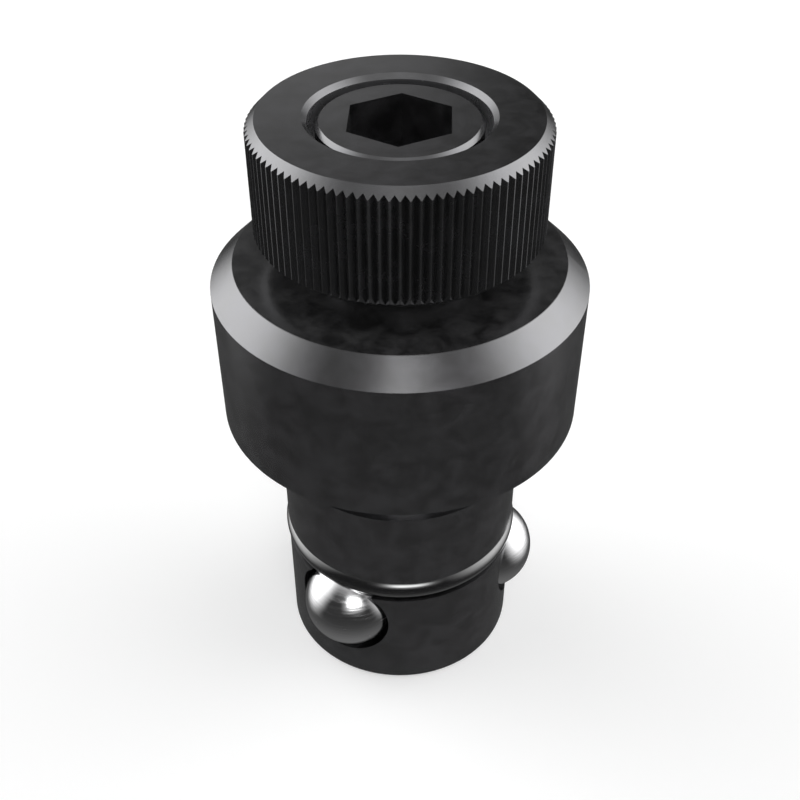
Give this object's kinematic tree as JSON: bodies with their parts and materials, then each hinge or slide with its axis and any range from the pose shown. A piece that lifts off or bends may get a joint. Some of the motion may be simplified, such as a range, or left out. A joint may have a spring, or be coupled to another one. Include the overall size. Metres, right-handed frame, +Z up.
{
  "type": "quick release pin",
  "caption": "Ball lock quick release pin for a fixture table, with a collared shank, a rubber ring and a knurled screw head with a hexagon socket.",
  "frame": {"origin": "centre of the shank's end face, which is the middle of the part's lowest face", "axes": "+Z up the pin's axis from the shank to the head, -Y towards the front, +X to the right seen from the front"},
  "size_m": [0.04, 0.04, 0.0694],
  "materials": {
    "black_steel": "burnished black oxide, glossy",
    "bright_steel": "ground",
    "ball_steel": "mirror polished",
    "rubber": "smooth, oiled"
  },
  "bodies": {
    "pin": {"pin_body": "black_steel", "friction_ring": "rubber"},
    "thrust": {"thrust_cone": "bright_steel"},
    "screw": {"spindle": "black_steel", "knurled_head": "black_steel", "nose_ring": "bright_steel", "stop_ring": "bright_steel"},
    "ball_1": {"ball_1": "ball_steel"},
    "ball_2": {"ball_2": "ball_steel"},
    "ball_3": {"ball_3": "ball_steel"}
  },
  "joints": [
    {"name": "screw_feed", "type": "slide", "parent": "pin", "child": "thrust", "axis": [0, 0, 1], "range_m": [0, 0.005]},
    {"name": "screw_turn", "type": "hinge", "parent": "thrust", "child": "screw", "pos_m": [0, 0, 0.0567], "axis": [0, 0, 1], "range_deg": [0, 900]},
    {"name": "ball_1_slide", "type": "slide", "parent": "pin", "child": "ball_1", "axis": [0.5284, 0.849, 0], "range_m": [0, 0.00289]},
    {"name": "ball_2_slide", "type": "slide", "parent": "pin", "child": "ball_2", "axis": [-0.9995, 0.0332, 0], "range_m": [0, 0.00289]},
    {"name": "ball_3_slide", "type": "slide", "parent": "pin", "child": "ball_3", "axis": [0.471, -0.8821, 0], "range_m": [0, 0.00289]}
  ],
  "couplings": [
    {"joint": "screw_feed", "follows": "screw_turn", "m_per_rad": 0.00031831},
    {"joint": "ball_1_slide", "follows": "screw_turn", "m_per_rad": 0.00018378},
    {"joint": "ball_2_slide", "follows": "screw_turn", "m_per_rad": 0.00018378},
    {"joint": "ball_3_slide", "follows": "screw_turn", "m_per_rad": 0.00018378}
  ]
}
